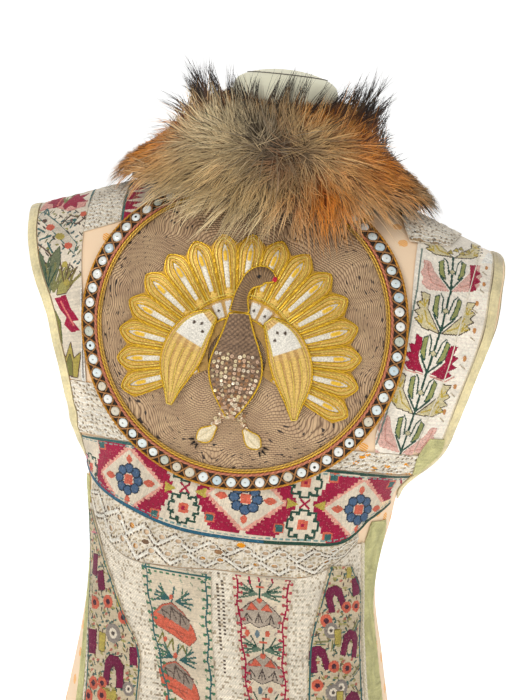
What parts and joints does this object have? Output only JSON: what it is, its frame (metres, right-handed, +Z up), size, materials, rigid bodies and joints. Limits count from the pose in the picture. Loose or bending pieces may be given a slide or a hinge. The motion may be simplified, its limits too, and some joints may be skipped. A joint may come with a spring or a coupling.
{
  "type": "embroidered waistcoat on dress form",
  "caption": "Sleeveless patchwork waistcoat with a round appliqued medallion on its back and a fur collar, worn by a limbless tabletop dress form with a domed neck cap.",
  "frame": {"origin": "centre of the dress form's flat base, on the surface it stands on", "axes": "+Z up, from the base to the neck cap; the garment's back faces -Y and its front +Y; +X is to the right as one looks at its back"},
  "size_m": [0.4528, 0.2616, 0.74],
  "materials": {
    "cotton": "plain weave, printed with small orange flowers",
    "linen": "even weave, cross stitched",
    "plain_linen": "even weave",
    "crochet": "crocheted cotton",
    "knit": "fine rib",
    "velvet": "chartreuse pile",
    "sateen": "satin",
    "cord": "corded seam",
    "couching": "couched brown and gold thread",
    "braid": "dark ground with sequins between gold cords",
    "gold_thread": "metallic thread",
    "fur": "long fox fur, grey brown and rust",
    "form_cover": "smooth jersey cover"
  },
  "bodies": {
    "root": {"dress_form": "form_cover", "back_panel": "cotton", "front_left": "cotton", "front_right": "cotton", "armhole_band_left": "sateen", "armhole_band_right": "sateen", "yoke_strip_left": "linen", "yoke_strip_right": "linen", "outer_strip_right": "plain_linen", "shoulder_linen_left": "linen", "shoulder_lace_left": "crochet", "shoulder_lace_right": "crochet", "yoke_lace_left": "crochet", "yoke_lace_right": "crochet", "underarm_patch": "velvet", "cross_stitch_band": "linen", "crochet_band": "crochet", "knit_ground": "knit", "strip_side_left": "linen", "strip_inner_left": "linen", "strip_inner_right": "linen", "strip_side_right": "linen", "velvet_left": "velvet", "velvet_right": "velvet", "seam_cord_right": "cord", "medallion_ground": "couching", "medallion_ring": "braid", "laid_cord": "gold_thread", "bird_fan": "gold_thread", "bird_wing_left": "gold_thread", "bird_wing_right": "gold_thread", "bird_body": "couching", "bird_neck": "couching", "fur_collar": "fur"}
  },
  "joints": []
}
